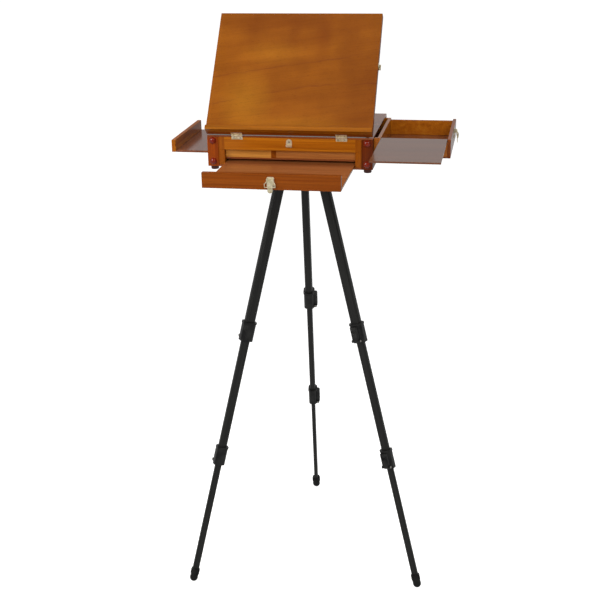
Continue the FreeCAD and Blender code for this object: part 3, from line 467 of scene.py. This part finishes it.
pale_brass = handled_metal("pale_brass_plating", "#f7ecce", "#d6c69a", 0.32, 7.0, metallic=0.72)
bright_steel = handled_metal("plain_bright_steel", "#b9b5ad", "#8c887f", 0.30, 6.0)
dress(pale_brass, "front_catch", "hinge_lower_leaves", "hinge_upper_leaves", "lid_side_catch",
      "tray_latch_plate", "tray_latch_lever", "tray_latch_loop",
      "drawer_latch_plate", "drawer_latch_lever", "drawer_latch_loop")
dress(bright_steel, "prop_frame", "hip_pins")
print("dressed the metal fittings")


# %% [markdown]
# ## Black ABS and rubber
#
# The hub, the clamps and their levers are injection-moulded ABS. The mould was spark eroded, which
# leaves an even grit on the skin, about half a millimetre coarse here so that it shows. Use scuffs the
# high places a little greyer. The feet are moulded rubber, duller and rougher, with no shine of its own.

# %% Moulded black parts
def moulded_black(name, colour, scuffed, roughness, grit_mm, depth_mm):
    """A black moulding with an even grit and soft scuffs."""
    material, tree = new_material(name)
    place = add(tree, "ShaderNodeTexCoord").outputs["Object"]
    grit = add(tree, "ShaderNodeTexNoise", {"Vector": place, "Scale": 1000 / grit_mm, "Detail": 2.0})
    scuffs = add(tree, "ShaderNodeTexNoise", {"Vector": place, "Scale": 1000 / 20, "Detail": 5.0})
    shade = add(tree, "ShaderNodeValToRGB", {"Fac": scuffs}, [(0.40, colour), (0.75, scuffed)])
    sheen = add(tree, "ShaderNodeMapRange", {
        "Value": scuffs, "To Min": roughness - 0.08, "To Max": roughness + 0.12,
    })
    bump = add(tree, "ShaderNodeBump", {"Height": grit, "Strength": 0.3, "Distance": depth_mm * MM})
    shader = add(tree, "ShaderNodeBsdfPrincipled", {
        "Base Color": shade, "Roughness": sheen, "Normal": bump, "Specular IOR Level": 0.4,
    })
    add(tree, "ShaderNodeOutputMaterial", {"Surface": shader})
    return material


black_abs = moulded_black("moulded_black_abs", "#131313", "#2b2b29", 0.38, 0.6, 0.06)
black_rubber = moulded_black("moulded_black_rubber", "#0e0e0e", "#242423", 0.70, 1.0, 0.08)
dress(black_abs, "tripod_hub", "mounting_screw")
print("dressed the hub")


# %% [markdown]
# ## Anodised aluminium legs
#
# The leg tubes are extruded aluminium, anodised black. Extruding leaves faint lines that run the whole
# length of a tube, and anodising keeps them as a satin sheen. The lines have to follow each leg's own
# slant, so the object's coordinates are turned until that leg stands upright. The turn comes from the
# direction that the leg's sections slide in.

# %% Leg tubes, clamps and feet
LEGS = ("left_leg", "right_leg", "rear_leg")


def leg_lines(leg):
    """A leg's hip point, the direction up its tubes and the direction of its hip pin."""
    hip = Vector(joint_at[leg + "_fold"]["pos_m"])
    upward = Vector(joint_at[leg + "_middle_slide"]["axis"]).normalized()
    return hip, upward, Vector(joint_at[leg + "_fold"]["axis"]).normalized()


for leg in LEGS:
    hip, upward, _ = leg_lines(leg)
    material, tree = new_material("black_anodised_" + leg)
    place = add(tree, "ShaderNodeTexCoord").outputs["Object"]
    from_hip = add(tree, "ShaderNodeVectorMath", {0: place, 1: hip}, operation="SUBTRACT")
    upright = add(tree, "ShaderNodeMapping", {
        "Vector": from_hip, "Rotation": upward.rotation_difference(Vector((0, 0, 1))).to_euler(),
    })
    drawn_out = add(tree, "ShaderNodeMapping", {"Vector": upright, "Scale": (900, 900, 8)})
    marks = add(tree, "ShaderNodeTexNoise", {"Vector": drawn_out, "Scale": 1.0, "Detail": 3.0})
    colour = add(tree, "ShaderNodeValToRGB", {"Fac": marks}, [(0.35, "#1c1c1b"), (0.70, "#2e2e2c")])
    sheen = add(tree, "ShaderNodeMapRange", {"Value": marks, "To Min": 0.36, "To Max": 0.50})
    bump = add(tree, "ShaderNodeBump", {"Height": marks, "Strength": 0.05, "Distance": 0.1 * MM})
    shader = add(tree, "ShaderNodeBsdfPrincipled", {
        "Base Color": colour, "Roughness": sheen, "Normal": bump, "Metallic": 0.3,
    })
    add(tree, "ShaderNodeOutputMaterial", {"Surface": shader})
    dress(material, *(leg + part for part in ("_upper_tube", "_middle_tube", "_lower_tube")))
    dress(black_abs, *(leg + part for part in (
        "_upper_clamp", "_lower_clamp", "_upper_lever", "_lower_lever")))
    dress(black_rubber, leg + "_rubber_foot")
print("dressed", len(LEGS), "legs")


# %% [markdown]
# ## Making a small part once and setting it in many places
#
# Screws, ribs and knurls repeat. Each is modelled once, in millimetres, lying flat with +Z pointing out
# of the surface, and copies of that mesh are then set down by matrices. `facing` builds such a matrix
# from a point, the way the surface faces and the way that is up on it. All copies on one body become a
# single piece, so that it can ride on that body.

# %% Setting copies in place
def facing(point, outward, up, size=MM):
    """A matrix that lays a part, made in millimetres with +Z outwards, on a surface at that point."""
    away = Vector(outward).normalized()
    right = Vector(up).cross(away).normalized()
    turn = Matrix((right, away.cross(right), away)).transposed().to_4x4()
    return Matrix.Translation(point) @ turn @ Matrix.Scale(size, 4)


def keep_mesh(shape, name):
    """Turn a finished bmesh into a mesh with its faces outwards."""
    bmesh.ops.recalc_face_normals(shape, faces=shape.faces)
    mesh = bpy.data.meshes.new(name)
    shape.to_mesh(mesh)
    shape.free()
    return mesh


def set_copies(name, part, places, body, material):
    """One piece made of copies of a part at the given places, riding on a body."""
    shape = bmesh.new()
    for place in places:
        already = len(shape.verts)
        shape.from_mesh(part)
        shape.verts.ensure_lookup_table()
        bmesh.ops.transform(shape, matrix=place, verts=shape.verts[already:])
    piece = bpy.data.objects.new(name, keep_mesh(shape, name))
    piece.data.materials.append(material)
    bpy.context.scene.collection.objects.link(piece)
    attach(piece, body)
    return piece


# %% [markdown]
# ## Cross-head screws
#
# Every brass fitting is held by small countersunk steel screws with a cross recess. A five by five grid is
# enough for one head: its rim is pushed out to a circle, its middle is raised into a shallow dome, the
# cells that form the cross are extruded down, and the rim is extruded down too and closed below.

# %% One screw head
GRID_STEPS = (-1.0, -0.62, -0.17, 0.17, 0.62, 1.0)
HEAD_RADIUS, HEAD_DOME, RECESS_DEPTH, HEAD_SKIRT = 1.9, 0.55, 0.55, 0.45

shape = bmesh.new()
bmesh.ops.create_grid(shape, x_segments=5, y_segments=5, size=1.0)
for vert in shape.verts:
    column, row = (round((value + 1) * 2.5) for value in vert.co.xy)
    flat = Vector((GRID_STEPS[column], GRID_STEPS[row], 0))
    if {0, 5} & {column, row}:
        flat.normalize()
    vert.co = flat * HEAD_RADIUS
    vert.co.z = HEAD_DOME * (1 - flat.length_squared)
cross = [face for face in shape.faces
         if max(abs(value) for value in face.calc_center_median().xy) < 0.62 * HEAD_RADIUS
         and min(abs(value) for value in face.calc_center_median().xy) < 0.17 * HEAD_RADIUS]
sunk = bmesh.ops.extrude_face_region(shape, geom=cross)["geom"]
sunk_points = [item for item in sunk if isinstance(item, bmesh.types.BMVert)]
bmesh.ops.translate(shape, vec=(0, 0, -RECESS_DEPTH), verts=sunk_points)
if all(face.is_valid for face in cross):
    bmesh.ops.delete(shape, geom=cross, context="FACES_ONLY")
rim = [edge for edge in shape.edges if edge.is_boundary]
skirt = bmesh.ops.extrude_edge_only(shape, edges=rim)["geom"]
skirt_points = [item for item in skirt if isinstance(item, bmesh.types.BMVert)]
bmesh.ops.translate(shape, vec=(0, 0, -HEAD_SKIRT), verts=skirt_points)
bmesh.ops.holes_fill(shape, edges=[edge for edge in shape.edges if edge.is_boundary])
open_edges = sum(not edge.is_manifold for edge in shape.edges)
screw_head = keep_mesh(shape, "screw_head")
print("one screw head:", len(screw_head.polygons), "faces,", open_edges, "open edges")

# %% [markdown]
# ## Where the screws go
#
# Each hinge leaf has two screws, each latch plate has one at either side of the lever's tip, and each
# catch has one in its round end. The lid's screws are placed on the shut lid and then swung up with it.

# %% Screws in the brass fittings
FRONT, UP, RIGHT = Vector((0, -1, 0)), Vector((0, 0, 1)), Vector((1, 0, 0))
PLATE = 1.2 * MM
HINGE_OFF_MIDDLE, LEAF_SCREW_SPREAD, LEAF_SCREW_DROP = 126 * MM, 8 * MM, 6 * MM

leaf_places, lid_places = [], []
for side in (-1, 1):
    for end in (-1, 1):
        x = box_middle_x + side * HINGE_OFF_MIDDLE + end * LEAF_SCREW_SPREAD
        below = Vector((x, box_front - PLATE, hinge_line.z - LEAF_SCREW_DROP))
        leaf_places.append(facing(below, FRONT, UP))
        above = Vector((x, box_front - PLATE, hinge_line.z + LEAF_SCREW_DROP))
        lid_places.append(swing_up @ facing(above, FRONT, UP))
catch_low, catch_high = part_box("front_catch")
catch_eye = Vector(((catch_low.x + catch_high.x) / 2, box_front - PLATE * 0.6, catch_high.z - 7 * MM))
leaf_places.append(facing(catch_eye, FRONT, UP, 1.15 * MM))
set_copies("hinge_and_catch_screws", screw_head, leaf_places, "sketch_box", bright_steel)
set_copies("lid_hinge_screws", screw_head, lid_places, "lid", bright_steel)

LATCH_SCREW_SPREAD, LATCH_SCREW_DROP = 6.4 * MM, 20.5 * MM
for solid, outward, body in (("tray_latch_plate", FRONT, "tray"), ("drawer_latch_plate", RIGHT, "drawer")):
    low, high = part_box(solid)
    along = UP.cross(outward)
    middle = (low + high) / 2
    middle.z = high.z - LATCH_SCREW_DROP
    if outward is FRONT:
        middle.y = high.y - PLATE
    else:
        middle.x = low.x + PLATE
    places = [facing(middle + along * end * LATCH_SCREW_SPREAD, outward, UP, 0.9 * MM) for end in (-1, 1)]
    set_copies(body + "_latch_screws", screw_head, places, body, bright_steel)
print("set", len(leaf_places) + len(lid_places) + 4, "screws")

# %% [markdown]
# ## Ribs, pin heads and rings on the legs
#
# Each flip lever has a hollow for the fingertip with three raised ribs, so that it doesn't slip. Its pin
# ends in small domed heads on both sides of the clamp. Each rubber foot is moulded with three rings that
# stiffen its mouth. A rib is a block with every edge rounded, and a ring is a circle spun round once.
# All of them lean with their leg, so their directions come from the leg's joints.

# %% One rib, one pin head and one ring
RIB = Vector((14.0, 1.1, 1.8))
shape = bmesh.new()
bmesh.ops.create_cube(shape, size=1.0)
bmesh.ops.scale(shape, vec=RIB, verts=shape.verts)
bmesh.ops.bevel(shape, geom=shape.edges[:], affect="EDGES", offset=0.4, segments=2, profile=0.5, material=-1)
finger_rib = keep_mesh(shape, "finger_rib")

shape = bmesh.new()
bmesh.ops.create_cone(shape, cap_ends=True, segments=24, radius1=2.9, radius2=2.9, depth=1.6)
top_rim = [edge for edge in shape.edges if all(vert.co.z > 0 for vert in edge.verts)]
bmesh.ops.bevel(shape, geom=top_rim, affect="EDGES", offset=0.9, segments=4, profile=0.5, material=-1)
pin_head = keep_mesh(shape, "pin_head")

RING_RADIUS = 11.3
shape = bmesh.new()
bmesh.ops.create_circle(shape, segments=10, radius=0.9)
bmesh.ops.rotate(shape, cent=(0, 0, 0), matrix=Matrix.Rotation(math.radians(90), 3, "X"), verts=shape.verts)
bmesh.ops.translate(shape, vec=(RING_RADIUS, 0, 0), verts=shape.verts)
bmesh.ops.spin(shape, geom=shape.verts[:] + shape.edges[:], cent=(0, 0, 0), axis=(0, 0, 1),
               angle=math.tau, steps=40, use_merge=True)
foot_ring = keep_mesh(shape, "foot_ring")
print("rib, pin head and ring:", [len(mesh.polygons) for mesh in (finger_rib, pin_head, foot_ring)], "faces")

# %% Dress the legs
LEVER_FACE_OUT = 5.3           # the lever's outer face, beyond its pin
RIB_HEIGHTS = (21.5, 24.5, 27.5)   # along the lever, from its pin
PIN_END = 12.9                 # the ear's outer face, from the lever's middle
RING_DROPS = (4.0, 9.0, 14.0)  # below the boot's mouth
BALL_RADIUS, BALL_TO_MOUTH = 11.0, 27.0

for leg in LEGS:
    hip, upward, hip_axis = leg_lines(leg)
    for level in ("upper", "lower"):
        pin = Vector(joint_at[leg + "_" + level + "_flip_turn"]["pos_m"])
        pin_axis = Vector(joint_at[leg + "_" + level + "_flip_turn"]["axis"]).normalized()
        from_tube = pin - hip
        outward = (from_tube - upward * from_tube.dot(upward)).normalized()
        face = pin + outward * (LEVER_FACE_OUT - 0.9) * MM
        places = [facing(face + upward * height * MM, outward, upward) for height in RIB_HEIGHTS]
        name = leg + "_" + level
        set_copies(name + "_lever_ribs", finger_rib, places, name + "_flip", black_abs)
        places = [facing(pin + pin_axis * end * PIN_END * MM, pin_axis * end, upward) for end in (-1, 1)]
        holder = leg + ("_upper" if level == "upper" else "_middle")
        set_copies(name + "_lever_pin_heads", pin_head, places, holder, bright_steel)
print("dressed the clamps")

# %% Rings round the rubber feet
for leg in LEGS:
    hip, upward, hip_axis = leg_lines(leg)
    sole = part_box(leg + "_rubber_foot")[0].z
    down_leg = (hip.z - sole - BALL_RADIUS * MM) / upward.z
    ball = hip - upward * down_leg
    places = [facing(ball + upward * (BALL_TO_MOUTH - drop) * MM, upward, hip_axis) for drop in RING_DROPS]
    set_copies(leg + "_foot_rings", foot_ring, places, leg + "_lower", black_rubber)
print("ringed the feet")

# %% [markdown]
# ## The mounting knob's knurl
#
# The box is screwed to the tripod's hub from below with a round knob. Its rim is knurled with upright
# ridges so that it can be gripped. One rounded ridge is enough, set down twenty-four times in a circle.

# %% Knurl
KNOB_RADIUS, KNOB_HEIGHT, KNURLS = 15.0, 12.0, 24
shape = bmesh.new()
bmesh.ops.create_cube(shape, size=1.0)
bmesh.ops.scale(shape, vec=(1.9, 7.0, 1.6), verts=shape.verts)
bmesh.ops.bevel(shape, geom=shape.edges[:], affect="EDGES", offset=0.5, segments=2, profile=0.5, material=-1)
knurl_ridge = keep_mesh(shape, "knurl_ridge")

screw_low, screw_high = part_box("mounting_screw")
knob_middle = Vector(((screw_low.x + screw_high.x) / 2, (screw_low.y + screw_high.y) / 2,
                      screw_low.z + KNOB_HEIGHT * MM / 2))
places = []
for index in range(KNURLS):
    angle = math.tau * index / KNURLS
    outward = Vector((math.cos(angle), math.sin(angle), 0))
    places.append(facing(knob_middle + outward * (KNOB_RADIUS - 0.3) * MM, outward, UP))
set_copies("knob_knurl", knurl_ridge, places, "sketch_box", black_abs)
print("knurled the knob with", KNURLS, "ridges")

# %% [markdown]
# ## A white studio
#
# Varnished wood is best lit in a white cove, with the room behind the camera kept
# dim. The white wall behind the easel puts a pale sheen on every flat top. The dim side keeps the front
# faces deep and warm, because there is nothing bright for their varnish to mirror. The world does the
# same here: its light grows from the camera's side to the far side, and only the camera itself sees it
# as plain white. The floor is a plain white plane. It takes part in the picture but not in the varnish.

# %% Floor
shape = bmesh.new()
bmesh.ops.create_grid(shape, x_segments=1, y_segments=1, size=30.0)
floor = bpy.data.objects.new("studio_floor", keep_mesh(shape, "studio_floor"))
bpy.context.scene.collection.objects.link(floor)
material, tree = new_material("white_studio_floor")
shader = add(tree, "ShaderNodeBsdfPrincipled", {
    "Base Color": linear("#e8e8e6"), "Roughness": 0.9, "Specular IOR Level": 0.0,
    "Emission Color": linear("#ffffff"), "Emission Strength": 0.85,
})
add(tree, "ShaderNodeOutputMaterial", {"Surface": shader})
floor.data.materials.append(material)
floor.visible_diffuse = False
floor.visible_glossy = False
print("laid the floor")

# %% Room
FRONT_ROOM, BACK_WALL, FLOOR_GLOW = 0.12, 0.50, 0.28

world = bpy.data.worlds.new("white_cove")
world.use_nodes = True
tree = world.node_tree
tree.nodes.clear()
direction = add(tree, "ShaderNodeTexCoord").outputs["Generated"]
heading = add(tree, "ShaderNodeSeparateXYZ", {"Vector": direction})
back_to_front = add(tree, "ShaderNodeMapRange", {
    "Value": heading.outputs["Y"], "From Min": -0.10, "From Max": 0.45,
    "To Min": FRONT_ROOM, "To Max": BACK_WALL,
}, interpolation_type="SMOOTHSTEP")
from_floor = add(tree, "ShaderNodeMapRange", {
    "Value": heading.outputs["Z"], "From Min": 0.05, "From Max": -0.30, "To Min": 0.0, "To Max": FLOOR_GLOW,
}, interpolation_type="SMOOTHSTEP")
strength = add(tree, "ShaderNodeMath", {0: back_to_front, 1: from_floor}, operation="ADD")
room = add(tree, "ShaderNodeBackground", {"Strength": strength})
backdrop = add(tree, "ShaderNodeBackground", {"Color": (1.0, 1.0, 1.0, 1.0), "Strength": 1.0})
room.inputs["Color"].default_value = (1.0, 1.0, 1.0, 1.0)
seen = add(tree, "ShaderNodeLightPath").outputs["Is Camera Ray"]
either = add(tree, "ShaderNodeMixShader", {0: seen, 1: room, 2: backdrop})
add(tree, "ShaderNodeOutputWorld", {"Surface": either})
bpy.context.scene.world = world
bpy.context.scene.view_settings.view_transform = "Standard"
print("painted the room")


# %% [markdown]
# ## Softboxes
#
# One softbox stands close to the left, so that light falls off across the easel and the left side is
# brighter. A small one hangs high at the right and puts a second glint on the buttons. A wide fill
# light near the camera lifts the fronts, and one overhead lifts the tops. Both fills are hidden from
# reflections, or they would grey the varnish again.

# %% Lights
def softbox(name, place, aim, size, power, mirrored=True):
    """A square area light at `place` that points at `aim`."""
    lamp = bpy.data.lights.new(name, "AREA")
    lamp.size = size
    lamp.energy = power
    holder = bpy.data.objects.new(name, lamp)
    bpy.context.scene.collection.objects.link(holder)
    holder.location = place
    holder.rotation_euler = (Vector(aim) - Vector(place)).to_track_quat("-Z", "Y").to_euler()
    holder.visible_camera = False
    holder.visible_glossy = mirrored


lid_middle = (box_middle_x, box_front, box_top + 0.05)
softbox("left_softbox", (-1.05, -1.05, 1.95), lid_middle, 0.7, 12.5)
softbox("high_right_softbox", (1.5, -1.6, 2.9), lid_middle, 0.5, 8)
softbox("wide_fill", (0.3, -3.2, 2.1), (0, 0, 1.1), 2.2, 80, mirrored=False)
softbox("overhead_fill", (0, -0.4, 3.2), (0, 0, 1.2), 1.6, 20, mirrored=False)
print("set the lights")

# %% [markdown]
# ## Camera
#
# The camera stands two and a half metres in front of the box, a little to its right and half a metre
# above it, with a lens of about 68 mm. It looks down by twenty degrees.

# %% Camera
lens = bpy.data.cameras.new("camera")
lens.sensor_width = 36.0
lens.lens = 67.54
camera = bpy.data.objects.new("camera", lens)
bpy.context.scene.collection.objects.link(camera)
place = Matrix.Translation((box_left + 706.2 * MM, box_front - 2583.6 * MM, box_top + 568.8 * MM))
turn = Matrix.Rotation(math.radians(10.67), 4, "Z")
pitch = Matrix.Rotation(math.radians(90 - 20.46), 4, "X")
roll = Matrix.Rotation(math.radians(-1.08), 4, "Z")
camera.matrix_world = place @ turn @ pitch @ roll
bpy.context.scene.camera = camera
print("camera at", [round(value, 3) for value in camera.location])
